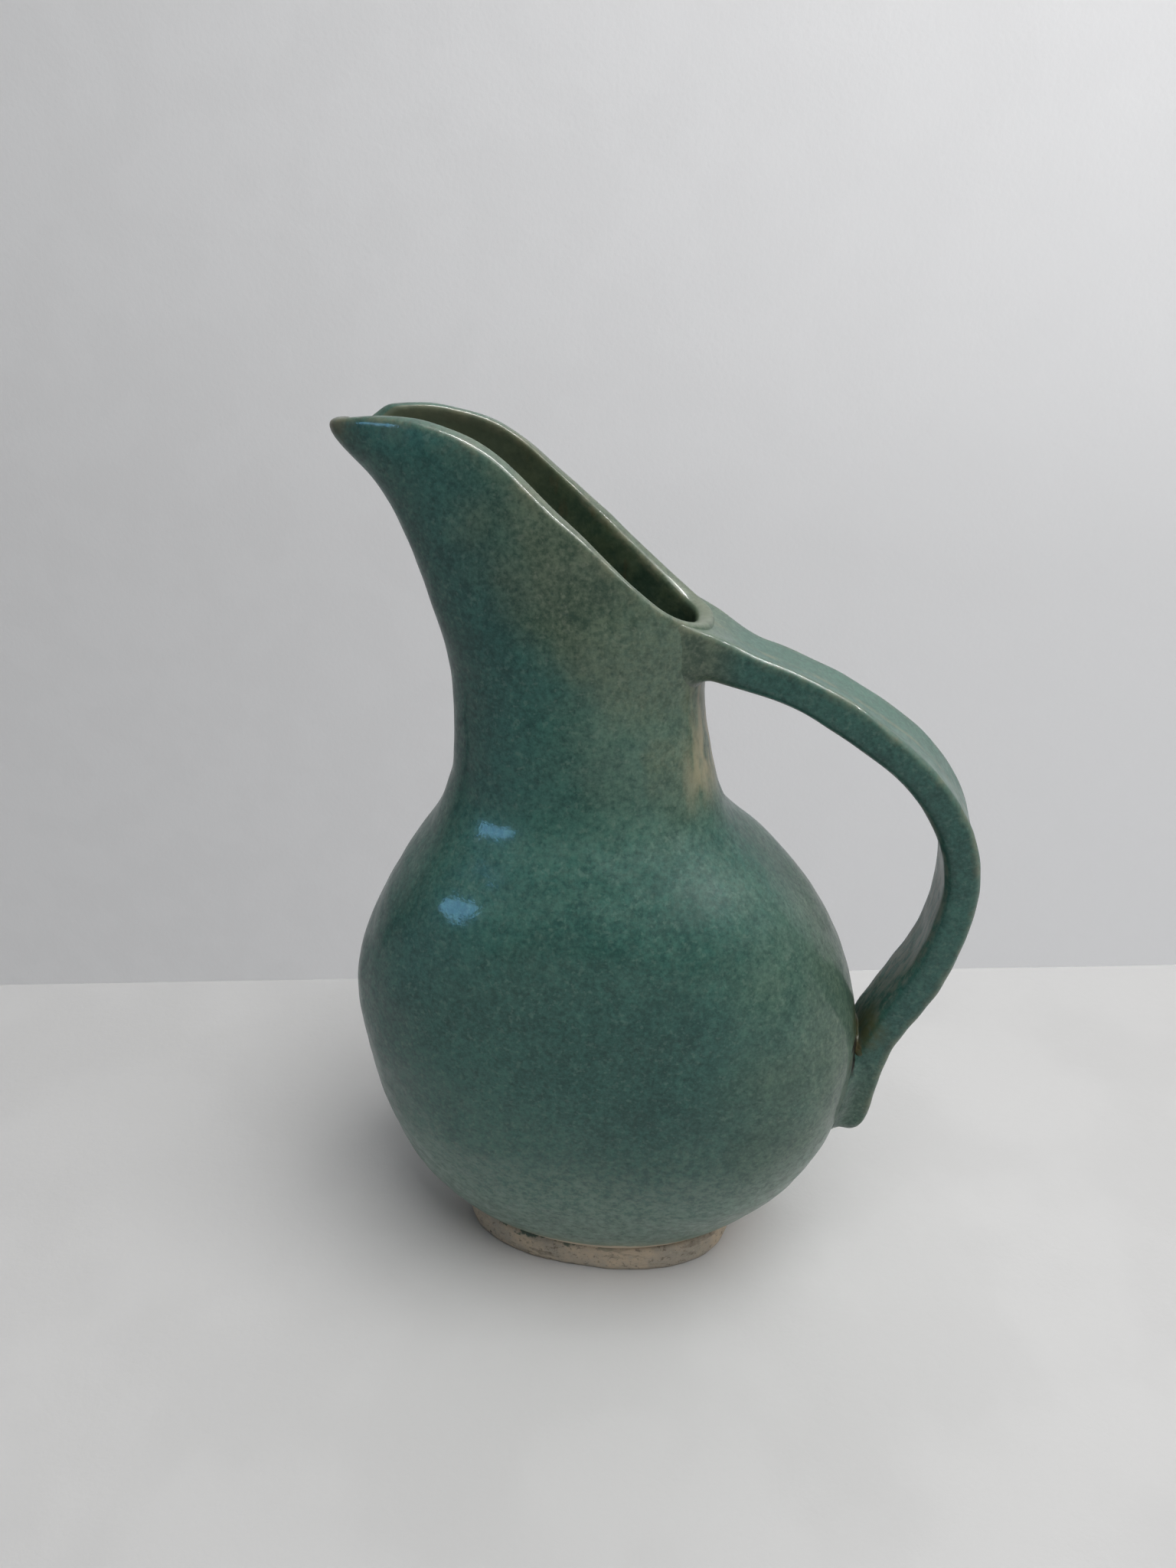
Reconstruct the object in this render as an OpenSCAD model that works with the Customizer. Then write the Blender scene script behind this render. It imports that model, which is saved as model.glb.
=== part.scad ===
// Flattened moon-bellied ceramic pitcher with a beaked spout and one pulled strap handle.
// Millimetres, +Z up, origin at the centre of the foot's resting face, spout towards -X, handle towards +X.

/* [Foot] */
// Half-width of the foot ring where it rests, along X
foot_half_w = 47; // [44:0.5:48]
// Half-depth of the foot ring where it rests, along Y
foot_half_d = 29; // [26:0.5:30]
// Height of the foot ring
foot_h = 10; // [8:0.5:12]
// Thickness of the foot ring's clay
foot_wall = 8; // [6:0.5:10]

/* [Wall] */
// Thickness of the belly's wall
belly_wall_t = 5.5; // [4:0.5:8]
// Thickness of the neck's wall
neck_wall_t = 4.4; // [3.5:0.1:6]
// Thickness of the floor slab
floor_t = 8; // [6:0.5:10]

/* [Handle] */
// Width of the strap along its free length
strap_w = 21; // [17:0.5:24]
// How much wider the strap is pressed out at its tail
tail_spread = 2; // [0:0.5:4]
// Radius of the strap's long edges
strap_edge_r = 3; // [2:0.25:3.5]
// Thickness of the clay worked on to the edges of the strap's root
lute_t = 4; // [2.5:0.5:5]

/* [Detail] */
// Points round the vessel's outline
around = 48; // [32:4:64]
// Rings up the belly
belly_rings = 16; // [10:1:24]
// Rings up the neck and spout
neck_rings = 12; // [8:1:20]
// Stations along the strap
strap_stations = 40; // [24:2:60]

/* [Hidden] */

glaze_green = [0.27, 0.40, 0.36];
bare_clay = [0.68, 0.60, 0.53];
lute_brown = [0.33, 0.34, 0.24];

// The vessel's outside by height: [height, spout side x, handle side x, half-depth,
// squareness of the spout half, squareness of the handle half].
outline = [
    [10, -47.5, 47.5, 28, 2.0, 2.0],
    [18, -55.5, 55, 33, 2.1, 2.1],
    [28, -62.5, 62, 37.5, 2.2, 2.2],
    [45, -68.5, 71, 43.5, 2.4, 2.4],
    [68, -73.5, 78.5, 48, 2.5, 2.5],
    [94, -77, 81, 49, 2.5, 2.5],
    [116, -76, 76, 48, 2.5, 2.5],
    [136, -68, 66, 45.5, 2.45, 2.45],
    [152, -58, 53.5, 41, 2.4, 2.4],
    [165, -49.5, 39.5, 34, 2.2, 2.2],
    [173, -46.5, 34.5, 28.5, 2.1, 2.1],
    [182, -44, 32, 26, 2.05, 2.1],
    [206, -42.5, 28.5, 22, 2.0, 2.3],
    [232, -47, 30, 19.5, 2.05, 2.6],
    [254, -54.5, 30, 17.5, 2.0, 2.6],
    [264, -60.5, 30, 16.5, 1.9, 2.5],
    [273, -68.5, 30, 15, 1.75, 2.3],
    [284, -78, 30, 12.5, 1.6, 2.2],
];

// The mouth's crest seen from the side: [x, height].
crest = [
    [-76, 273.5],
    [-69, 277.5],
    [-61, 279.5],
    [-51, 280],
    [-41, 279],
    [-27, 273.5],
    [-9, 258],
    [9, 242],
    [21, 232.5],
    [31, 228.5],
];

// The strap's middle line in the XZ plane, root to tail: [x, height, thickness].
strap_line = [
    [24, 222, 12],
    [37, 217.5, 9.5],
    [51, 213.5, 8.5],
    [67, 205.5, 9],
    [82.5, 194.5, 9.5],
    [93.5, 182.5, 9.5],
    [100.5, 168, 9.5],
    [103, 151, 9.5],
    [101, 133, 10],
    [94.5, 114, 11],
    [87.5, 98, 10.5],
    [84.5, 83, 10],
    [83.5, 70, 9.5],
    [82.5, 60, 8.5],
];

shoulder_z = 172;              // where the neck is joined to the belly
thinning_z = 120;              // where the belly's wall starts to thin towards the neck
floor_top_z = foot_h + floor_t;
foot_squareness = 2.35;        // 2 is a true oval, more is squarer
lip_round = 1.4;               // how far the lip's crown stands above its two edges
lute_share = 0.13;             // share of the strap's length that the upper lute wraps
lute_end_t = 1;                // thickness the upper lute thins out to
lute_face_share = 0.15;        // how thick the upper lute is on the strap's faces against its edges
lute_steps = 6;                // sections along the upper lute
tail_share = 0.2;              // share of the strap's length over which the tail spreads
crotch_x = 82.5;               // middle of the lower lute
crotch_z = 98;
crotch_r = 5;
crotch_w = 15;

// Cubic curve through the rows of a table, by its first column; column k is read.
function row_before(t, x, i = 0) = (i >= len(t) - 2 || x < t[i + 1][0]) ? i : row_before(t, x, i + 1);
function rise(t, i, k) =
    let (a = max(i - 1, 0), b = min(i + 1, len(t) - 1)) (t[b][k] - t[a][k]) / (t[b][0] - t[a][0]);
function curve(t, x, k) =
    let (
        i = row_before(t, x),
        h = t[i + 1][0] - t[i][0],
        s = (x - t[i][0]) / h
    )
    (2 * s ^ 3 - 3 * s ^ 2 + 1) * t[i][k] + (s ^ 3 - 2 * s ^ 2 + s) * h * rise(t, i, k)
    + (3 * s ^ 2 - 2 * s ^ 3) * t[i + 1][k] + (s ^ 3 - s ^ 2) * h * rise(t, i + 1, k);

// A point of the vessel at a turn u (0 at the handle, 180 at the spout) and height z, set in by a wall.
function signed_power(v, p) = sign(v) * abs(v) ^ p;
function wall_point(u, z, inset) =
    let (
        left = curve(outline, z, 1) + inset,
        right = curve(outline, z, 2) - inset,
        depth = curve(outline, z, 3) - inset,
        p = 2 / curve(outline, z, cos(u) < 0 ? 4 : 5)
    )
    [
        (left + right) / 2 + (right - left) / 2 * signed_power(cos(u), p),
        depth * signed_power(sin(u), p),
        z
    ];

// The crest's height at a turn: the height at which the wall meets the crest's side view.
function crest_z(u, inset, z = 250, tries = 24) =
    tries == 0 ? z
    : crest_z(u, inset, (z + curve(crest, wall_point(u, z, inset)[0], 1)) / 2, tries - 1);

function ring(z, inset) = [for (i = [0:around - 1]) wall_point(360 * i / around, z, inset)];
function neck_ring(share, inset, drop = lip_round) =
    [for (i = [0:around - 1])
        let (u = 360 * i / around, top = crest_z(u, inset) - drop)
        wall_point(u, shoulder_z + (top - shoulder_z) * share, inset)];

// Triangles between two rings of n points that start at a and b.
function band(a, b, n) = [
    for (i = [0:n - 1])
        let (j = (i + 1) % n)
        each [[a + i, b + i, b + j], [a + i, b + j, a + j]]
];
function flat_rings(rings) = [for (r = rings) each r];

// A closed wall: the outside rings going up, then the inside rings going down.
module shell(outer, inner) {
    rings = concat(outer, [for (i = [len(inner) - 1:-1:0]) inner[i]]);
    n = len(rings[0]);
    polyhedron(
        flat_rings(rings),
        [for (k = [0:len(rings) - 1]) each band(k * n, ((k + 1) % len(rings)) * n, n)]
    );
}

// A closed solid of stacked rings with a fan at each end.
module loft(rings) {
    n = len(rings[0]);
    last = (len(rings) - 1) * n;
    polyhedron(
        flat_rings(rings),
        concat(
            [for (k = [0:len(rings) - 2]) each band(k * n, (k + 1) * n, n)],
            [[for (i = [0:n - 1]) i]],
            [[for (i = [n - 1:-1:0]) last + i]]
        )
    );
}

// Turned foot, bare of glaze: a softly squared oval with an open recess underneath.
function oval(half_w, half_d) =
    [for (i = [0:around - 1])
        let (u = 360 * i / around, p = 2 / foot_squareness)
        [half_w * signed_power(cos(u), p), half_d * signed_power(sin(u), p)]];
module foot_ring() {
    color(bare_clay) linear_extrude(foot_h) difference() {
        polygon(oval(foot_half_w, foot_half_d));
        polygon(oval(foot_half_w - foot_wall, foot_half_d - foot_wall));
    }
}

// Oval floor between the foot and the belly; its edge is the start of the belly's curve.
module floor_slab() {
    color(glaze_green) loft([for (z = [foot_h, foot_h + floor_t / 2, floor_top_z]) ring(z, 0)]);
}

// The wall thins from the belly's thickness to the neck's by the shoulder.
function wall_at(z) =
    z >= shoulder_z ? neck_wall_t
    : belly_wall_t + (neck_wall_t - belly_wall_t) * max(0, (z - thinning_z) / (shoulder_z - thinning_z));

// Thrown and flattened belly, from the floor to the shoulder.
module belly_wall() {
    heights = [for (k = [0:belly_rings]) floor_top_z + (shoulder_z - floor_top_z) * k / belly_rings];
    color(glaze_green) shell(
        [for (z = heights) ring(z, 0)],
        [for (z = heights) ring(z, wall_at(z))]
    );
}

// Neck drawn up from the shoulder and cut on a long slant, with a rounded lip and a pinched spout.
module neck_spout() {
    shares = [for (k = [0:neck_rings]) k / neck_rings];
    color(glaze_green) shell(
        concat([for (v = shares) neck_ring(v, 0)], [neck_ring(1, neck_wall_t / 2, 0)]),
        [for (v = shares) neck_ring(v, neck_wall_t)]
    );
}

// The strap's middle line at a share 0 to 1 of its length: [x, height, thickness].
function strap_at(s) =
    let (
        n = len(strap_line) - 1,
        f = min(s * n, n - 0.0001),
        i = floor(f),
        t = f - i,
        a = strap_line[max(i - 1, 0)],
        b = strap_line[i],
        c = strap_line[i + 1],
        d = strap_line[min(i + 2, n)]
    )
    0.5 * (2 * b + (c - a) * t + (2 * a - 5 * b + 4 * c - d) * t ^ 2 + (3 * b - a - 3 * c + d) * t ^ 3);
function strap_way(s) =
    let (
        e = 0.002,
        v = strap_at(min(s + e, 1)) - strap_at(max(s - e, 0)),
        w = [v[0], v[1]]
    )
    w / norm(w);
function spread_at(s) = tail_spread * max(0, (s - 1 + tail_share) / tail_share) ^ 2;

// A rounded oblong of width w and thickness t, walked round its four corners.
function oblong(w, t, r) = [
    for (q = [0:3], k = [0:3])
        let (a = 90 * q + 30 * k, sx = (q == 0 || q == 3) ? 1 : -1, sy = q < 2 ? 1 : -1)
        [sx * (w / 2 - r) + r * cos(a), sy * (t / 2 - r) + r * sin(a)]
];

// The strap's section at a share of its length, grown by a margin at its edges and on its faces.
function strap_ring(s, edges = 0, faces = 0) =
    let (p = strap_at(s), v = strap_way(s), w = strap_w + spread_at(s) + 2 * edges)
    [for (q = oblong(w, p[2] + 2 * faces, strap_edge_r + faces))
        [p[0] - v[1] * q[1], q[0], p[1] + v[0] * q[1]]];

// The whole strap before trimming.
module strap_blank() {
    loft([for (k = [0:strap_stations]) strap_ring(k / strap_stations)]);
}

// The vessel as one solid block, for trimming what is pressed on to it.
module vessel_block() {
    loft([for (k = [0:belly_rings]) ring(floor_top_z + (shoulder_z - floor_top_z) * k / belly_rings, 0)]);
    loft([for (k = [0:neck_rings]) neck_ring(k / neck_rings, 0)]);
}

// Pulled strap, trimmed where it is pressed on to the neck and the belly.
module strap_handle() {
    color(glaze_green) render() difference() {
        strap_blank();
        vessel_block();
    }
}

// Clay worked round the strap's root, flaring on to the neck.
module upper_lute() {
    color(glaze_green) render() difference() {
        loft([for (k = [0:lute_steps])
            let (f = k / lute_steps, edges = lute_end_t + (lute_t - lute_end_t) * (1 - f) ^ 2)
            strap_ring(lute_share * f, edges, edges * lute_face_share)]);
        strap_blank();
        vessel_block();
    }
}

// Clay worked into the crotch between the strap and the belly.
module lower_lute() {
    color(lute_brown) render() difference() {
        translate([crotch_x, 0, crotch_z]) rotate([90, 0, 0])
            cylinder(r = crotch_r, h = crotch_w, center = true, $fn = 32);
        strap_blank();
        vessel_block();
    }
}

foot_ring();
floor_slab();
belly_wall();
neck_spout();
strap_handle();
upper_lute();
lower_lute();
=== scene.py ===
"""Looks of the glazed ceramic pitcher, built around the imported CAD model."""
import math

import bpy
import numpy as np
from mathutils import Matrix, Vector


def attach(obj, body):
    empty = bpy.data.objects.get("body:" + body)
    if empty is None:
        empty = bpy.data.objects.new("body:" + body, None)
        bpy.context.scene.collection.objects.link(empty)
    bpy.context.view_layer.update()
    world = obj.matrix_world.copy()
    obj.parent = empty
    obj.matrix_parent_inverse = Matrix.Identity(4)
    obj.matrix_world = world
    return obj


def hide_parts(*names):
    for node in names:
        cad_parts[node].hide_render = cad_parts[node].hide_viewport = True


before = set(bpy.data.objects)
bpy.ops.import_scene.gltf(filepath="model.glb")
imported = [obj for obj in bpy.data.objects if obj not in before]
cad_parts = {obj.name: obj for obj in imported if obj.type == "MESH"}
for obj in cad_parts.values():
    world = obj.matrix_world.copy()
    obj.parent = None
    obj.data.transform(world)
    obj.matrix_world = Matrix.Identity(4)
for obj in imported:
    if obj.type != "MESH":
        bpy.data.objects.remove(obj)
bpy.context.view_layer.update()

MM = 0.001
TAU = 2 * math.pi

# ---------------------------------------------------------------- tables, in mm, close to the CAD source's

# height, spout side x, handle side x, half-depth, squareness of the spout half and of the handle half
OUTLINE = np.array([
    [10, -47.5, 47.5, 28, 2.0, 2.0],
    [18, -55.5, 55, 33, 2.1, 2.1],
    [28, -62.5, 62, 37.5, 2.2, 2.2],
    [45, -68.5, 71, 43.5, 2.4, 2.4],
    [68, -73.5, 78.5, 48, 2.5, 2.5],
    [94, -77, 81, 49, 2.5, 2.5],
    [116, -76, 76, 48, 2.5, 2.5],
    [136, -68, 66, 45.5, 2.45, 2.45],
    [152, -58, 53.5, 41, 2.4, 2.4],
    [165, -49.5, 40.5, 34, 2.2, 2.2],
    [173, -46.5, 36, 28.5, 2.1, 2.1],
    [182, -44, 33, 26, 2.05, 2.1],
    [206, -42.5, 28.5, 22, 2.0, 2.3],
    [232, -47, 30, 19.5, 2.05, 2.6],
    [254, -54.5, 30, 17.5, 2.0, 2.6],
    [264, -60.5, 30, 16.5, 1.9, 2.5],
    [272, -68.6, 30, 15.2, 1.8, 2.3],
    [276, -70.8, 30, 14.3, 1.75, 2.3],
    [284, -71.5, 30, 12.5, 1.7, 2.2],
], float)

# x, height of the mouth's crest
CREST = np.array([
    [-73, 275.5],
    [-69, 278],
    [-64, 279.3],
    [-57, 280],
    [-50, 280.2],
    [-41, 279],
    [-27, 273.5],
    [-9, 258],
    [9, 242],
    [21, 232.5],
    [31, 228.5],
], float)

# x, height, thickness along the strap's middle line, root to tail
STRAP_LINE = np.array([
    [24, 222, 12],
    [37, 217.5, 9.5],
    [51, 213.5, 8.5],
    [67, 205.5, 9],
    [82.5, 194.5, 9.5],
    [93.5, 182.5, 9.5],
    [100.5, 168, 9.5],
    [103, 151, 9.5],
    [101, 133, 10],
    [94.5, 114, 11],
    [87.5, 98, 10.5],
    [84.5, 83, 10],
    [83.5, 70, 9.5],
    [82.5, 60, 8.5],
], float)

FOOT_HALF_W = 47
FOOT_HALF_D = 29
FOOT_H = 10
FOOT_WALL = 8
FOOT_SQUARENESS = 2.35
FLOOR_TOP = 18
SHOULDER_Z = 172
STRAP_W = 21
STRAP_T = 10
TAIL_EXTRA_W = 2
BELLY_WALL = 5.5
NECK_WALL = 4.6
CROTCH = (82.5, 98.0)
FLOOR_LEVEL = FLOOR_TOP - 1
CREST_END = CREST[-1, 0]


# ---------------------------------------------------------------- curves

def hermite(table, x, column):
    """The CAD source's cubic curve through one column of a table."""
    xs = table[:, 0]
    ys = table[:, column]
    lower = np.maximum(np.arange(len(xs)) - 1, 0)
    upper = np.minimum(np.arange(len(xs)) + 1, len(xs) - 1)
    slope = (ys[upper] - ys[lower]) / (xs[upper] - xs[lower])
    i = np.clip(np.searchsorted(xs, x, side="right") - 1, 0, len(xs) - 2)
    h = xs[i + 1] - xs[i]
    s = (x - xs[i]) / h
    return (
        (2 * s**3 - 3 * s**2 + 1) * ys[i]
        + (s**3 - 2 * s**2 + s) * h * slope[i]
        + (3 * s**2 - 2 * s**3) * ys[i + 1]
        + (s**3 - s**2) * h * slope[i + 1]
    )


def blurred(values, sigma):
    """Values smoothed by a bell curve sigma samples wide, with straight run-outs at both ends."""
    pad = int(4 * sigma) + 1
    head = 2 * values[0] - values[pad:0:-1]
    tail = 2 * values[-1] - values[-2:-pad - 2:-1]
    bell = np.exp(-0.5 * (np.arange(-pad, pad + 1) / sigma) ** 2)
    return np.convolve(np.concatenate([head, values, tail]), bell / bell.sum(), mode="valid")


class Curves:
    """A table's columns as smooth curves, looked up on a fine grid."""

    def __init__(self, table, sigma_mm, step=0.5):
        self.grid = np.arange(table[0, 0], table[-1, 0] + step / 2, step)
        self.columns = [
            blurred(hermite(table, self.grid, k), sigma_mm / step) for k in range(1, table.shape[1])
        ]

    def __call__(self, x, column):
        return np.interp(x, self.grid, self.columns[column - 1])


outline = Curves(OUTLINE, 2.5)
crest = Curves(CREST, 2.0)


def smoothstep(a, b, x):
    """0 at a, 1 at b, eased between them and level beyond."""
    t = np.clip((x - a) / (b - a), 0, 1)
    return t * t * (3 - 2 * t)


def powered(value, power):
    """A value's size raised to a power, with its sign kept."""
    return np.sign(value) * np.abs(value) ** power


# ---------------------------------------------------------------- the vessel's surface

def squareness(u, z):
    """How square the outline is at a turn u, 0 at the handle and pi at the spout."""
    spout = smoothstep(0.5, -0.5, np.cos(u))
    return outline(z, 5) + (outline(z, 4) - outline(z, 5)) * spout


def wall_point(u, z, inset):
    """The wall's point at a turn u and a height z, an inset inside its outer face."""
    left = outline(z, 1) + inset
    right = outline(z, 2) - inset
    depth = outline(z, 3) - inset
    p = 2 / squareness(u, z)
    x = (left + right) / 2 + (right - left) / 2 * powered(np.cos(u), p)
    y = depth * powered(np.sin(u), p)
    return np.stack([x, y, z + 0 * x], axis=-1)


def crest_height(u, inset):
    """The height at which the wall at a turn u meets the mouth's crest."""
    z = np.full_like(u, 250.0)
    for _ in range(60):
        z = (z + crest(wall_point(u, z, inset)[..., 0], 1)) / 2
    return z


def vessel_side(points):
    """Signed distance out from the vessel's outside, and the outward direction there."""

    def level(p):
        z = p[..., 2]
        left = outline(z, 1)
        right = outline(z, 2)
        dx = (p[..., 0] - (left + right) / 2) / ((right - left) / 2)
        dy = p[..., 1] / outline(z, 3)
        turn = np.arctan2(dy, dx)
        n = squareness(turn, z)
        return (np.abs(dx) ** n + np.abs(dy) ** n + 1e-12) ** (1 / n) - 1

    def slope(p):
        h = 0.05
        parts = []
        for axis in range(3):
            e = np.zeros(3)
            e[axis] = h
            parts.append((level(p + e) - level(p - e)) / (2 * h))
        return np.stack(parts, axis=-1)

    near = points.copy()
    for _ in range(4):
        g = slope(near)
        near = near - g * (level(near) / np.sum(g * g, axis=-1))[..., None]
    g = slope(near)
    outward = g / np.linalg.norm(g, axis=-1, keepdims=True)
    return np.sum((points - near) * outward, axis=-1), outward


# ---------------------------------------------------------------- hand-made unevenness

WARP_COUNT = 6
WARP_SUM = 2.4
WARP_FADE = 25
ROUGH_COUNT = 9

rng = np.random.default_rng(11)
WARP_WAVES = [
    (wavelength, size, rng.normal(size=(3, WARP_COUNT, 3)), rng.uniform(0, TAU, size=(3, WARP_COUNT)))
    for wavelength, size in ((70, 0.5), (26, 0.2), (9, 0.05))
]


def warp(points):
    """Bends space a little, the same way for every piece, so that nothing is perfectly regular."""
    out = points.copy()
    for wavelength, size, ways, phases in WARP_WAVES:
        ways = ways / np.linalg.norm(ways, axis=-1, keepdims=True)
        for axis in range(3):
            for way, phase in zip(ways[axis], phases[axis]):
                out[..., axis] += size / WARP_SUM * np.sin(points @ way * TAU / wavelength + phase)
    above = smoothstep(FOOT_H, FOOT_H + WARP_FADE, points[..., 2])[..., None]
    return points + (out - points) * above


def rough(points, wavelength, seed, size):
    """Smooth seeded noise of about the given size at each point."""
    source = np.random.default_rng(seed)
    total = np.zeros(points.shape[:-1])
    for _ in range(ROUGH_COUNT):
        way = source.normal(size=3)
        way /= np.linalg.norm(way)
        total += np.sin(points @ way * TAU / wavelength * source.uniform(0.7, 1.4) + source.uniform(0, TAU))
    return total / math.sqrt(ROUGH_COUNT) * size


# ---------------------------------------------------------------- meshes

def grid_faces(rows, columns, closed):
    """Quads of a grid that closes on itself along its columns, and along its rows if closed."""
    last = rows if closed else rows - 1
    k, i = np.meshgrid(np.arange(last), np.arange(columns), indexing="ij")
    j = (i + 1) % columns
    m = (k + 1) % rows
    quads = np.stack([k * columns + i, k * columns + j, m * columns + j, m * columns + i], axis=-1)
    return quads.reshape(-1, 4).tolist()


def grid_normals(points):
    """Outward directions of a ring grid of points."""
    along = np.gradient(points, axis=0)
    around = np.roll(points, -1, axis=1) - np.roll(points, 1, axis=1)
    n = np.cross(around, along)
    return n / (np.linalg.norm(n, axis=-1, keepdims=True) + 1e-12)


def make_piece(name, points, faces, material, layers=None):
    """A smooth-shaded mesh object from points in mm, with named values per point."""
    flat = points.reshape(-1, 3)
    mesh = bpy.data.meshes.new(name)
    mesh.from_pydata((flat * MM).tolist(), [], faces)
    mesh.polygons.foreach_set("use_smooth", [True] * len(mesh.polygons))
    for layer, values in (layers or {}).items():
        attribute = mesh.attributes.new(layer, "FLOAT", "POINT")
        attribute.data.foreach_set("value", np.asarray(values, np.float32).ravel())
    mesh.materials.append(material)
    mesh.validate()
    mesh.update()
    piece = bpy.data.objects.new(name, mesh)
    bpy.context.scene.collection.objects.link(piece)
    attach(piece, "root")
    return piece


# ---------------------------------------------------------------- material helpers

class Nodes:
    """Short calls for building one material's node tree."""

    def __init__(self, name):
        self.material = bpy.data.materials.new(name)
        self.material.use_nodes = True
        self.tree = self.material.node_tree
        self.shader = self.tree.nodes["Principled BSDF"]
        self.place = self.tree.nodes.new("ShaderNodeTexCoord").outputs["Object"]

    def link(self, value, socket):
        if isinstance(value, bpy.types.NodeSocket):
            self.tree.links.new(value, socket)
        else:
            socket.default_value = value

    def noise(self, size_mm, detail=2.0, seed=0.0, roughness=0.5, stretch=(1, 1, 1)):
        """Cloudy noise whose features are about size_mm across; stretch lengthens them along an axis."""
        mapping = self.tree.nodes.new("ShaderNodeMapping")
        mapping.inputs["Location"].default_value = (seed, seed * 0.7, -seed * 1.3)
        mapping.inputs["Scale"].default_value = [1 / s for s in stretch]
        self.tree.links.new(self.place, mapping.inputs["Vector"])
        node = self.tree.nodes.new("ShaderNodeTexNoise")
        self.tree.links.new(mapping.outputs[0], node.inputs["Vector"])
        node.inputs["Scale"].default_value = 1000 / size_mm
        node.inputs["Detail"].default_value = detail
        node.inputs["Roughness"].default_value = roughness
        return node.outputs[0]

    def cells(self, size_mm, seed=0.0):
        """Distance to the nearest of scattered points about size_mm apart."""
        mapping = self.tree.nodes.new("ShaderNodeMapping")
        mapping.inputs["Location"].default_value = (seed, -seed, seed * 0.4)
        self.tree.links.new(self.place, mapping.inputs["Vector"])
        node = self.tree.nodes.new("ShaderNodeTexVoronoi")
        self.tree.links.new(mapping.outputs[0], node.inputs["Vector"])
        node.inputs["Scale"].default_value = 1000 / size_mm
        return node.outputs["Distance"]

    def math(self, kind, a, b=0.0):
        node = self.tree.nodes.new("ShaderNodeMath")
        node.operation = kind
        self.link(a, node.inputs[0])
        self.link(b, node.inputs[1])
        return node.outputs[0]

    def span(self, value, low, high, to_low=0.0, to_high=1.0):
        """A value's stretch from low to high, eased and clamped, as a stretch from to_low to to_high."""
        node = self.tree.nodes.new("ShaderNodeMapRange")
        node.interpolation_type = "SMOOTHSTEP"
        self.link(value, node.inputs["Value"])
        node.inputs["From Min"].default_value = low
        node.inputs["From Max"].default_value = high
        node.inputs["To Min"].default_value = to_low
        node.inputs["To Max"].default_value = to_high
        return node.outputs[0]

    def axis(self, name):
        """One coordinate of the place, in mm."""
        node = self.tree.nodes.new("ShaderNodeSeparateXYZ")
        self.tree.links.new(self.place, node.inputs[0])
        return self.math("MULTIPLY", node.outputs[name], 1000.0)

    def near(self, centre_mm, radius_mm, soft_mm):
        """1 within a radius of a place, falling to 0."""
        node = self.tree.nodes.new("ShaderNodeVectorMath")
        node.operation = "DISTANCE"
        self.tree.links.new(self.place, node.inputs[0])
        node.inputs[1].default_value = [c * MM for c in centre_mm]
        return self.span(node.outputs["Value"], (radius_mm + soft_mm) * MM, radius_mm * MM)

    def layer(self, name):
        """A value stored on the mesh's points."""
        node = self.tree.nodes.new("ShaderNodeAttribute")
        node.attribute_name = name
        return node.outputs["Fac"]

    def mix(self, a, b, share):
        node = self.tree.nodes.new("ShaderNodeMix")
        node.data_type = "RGBA"
        self.link(share, node.inputs[0])
        self.link(a, node.inputs[6])
        self.link(b, node.inputs[7])
        return node.outputs[2]

    def bump(self, height, depth_mm, under=None):
        node = self.tree.nodes.new("ShaderNodeBump")
        node.inputs["Strength"].default_value = 1.0
        node.inputs["Distance"].default_value = depth_mm * MM
        self.tree.links.new(height, node.inputs["Height"])
        if under is not None:
            self.tree.links.new(under, node.inputs["Normal"])
        return node.outputs[0]

    def finish(self, colour, roughness, normal=None, **constants):
        self.link(colour, self.shader.inputs["Base Color"])
        self.link(roughness, self.shader.inputs["Roughness"])
        if normal is not None:
            self.tree.links.new(normal, self.shader.inputs["Normal"])
        for name, value in constants.items():
            self.shader.inputs[name.replace("_", " ")].default_value = value
        return self.material


def rgb(r, g, b):
    return (r, g, b, 1.0)


# ---------------------------------------------------------------- materials

def glaze_colour(n, warm, painted_light_share):
    """Mottled glaze of clouds, grain, flecks and specks: teal to olive-grey with warm, then lightened by the
    last argument, a pale painted light and sheen laid where the surface should look lit.
    """
    dark = n.mix(rgb(0.012, 0.062, 0.054), rgb(0.036, 0.066, 0.042), warm)
    light = n.mix(rgb(0.042, 0.142, 0.115), rgb(0.138, 0.176, 0.114), warm)
    pale = n.mix(rgb(0.110, 0.205, 0.168), rgb(0.205, 0.235, 0.165), warm)
    grain = n.math("MULTIPLY", n.noise(1.3, 3.0, 5.0, 0.7), 0.46)
    grain = n.math("ADD", grain, n.math("MULTIPLY", n.noise(3.6, 3.0, 13.0, 0.65, (1, 1, 1.6)), 0.24))
    cloud = n.noise(12, 4.0, 8.3, 0.6)
    drift = n.math("ADD", n.math("MULTIPLY", cloud, 0.12), n.math("MULTIPLY", n.noise(60, 2.0, 3.1), 0.18))
    colour = n.mix(dark, light, n.span(n.math("ADD", grain, drift), 0.37, 0.63))
    flecks = n.span(n.noise(1.7, 2.0, 5.0, 0.6), 0.54, 0.70, 0.0, 0.45)
    colour = n.mix(colour, pale, n.math("MULTIPLY", flecks, n.span(cloud, 0.35, 0.6, 0.5, 1.0)))
    speck = rgb(0.010, 0.045, 0.038)
    colour = n.mix(colour, speck, n.span(n.noise(1.4, 2.0, 17.0, 0.5), 0.40, 0.27, 0.0, 0.45))
    # Painted light: a pale tint laid over the glaze where it should look lit or sheened; it is no colour of
    # the glaze.
    painted_light_tint = rgb(0.180, 0.290, 0.222)
    painted_light_share = n.math("MULTIPLY", painted_light_share, n.span(n.noise(2.4, 4.0, 21.0, 0.7), 0.36, 0.64, 0.4, 1.6))
    return n.mix(colour, painted_light_tint, painted_light_share)


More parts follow.
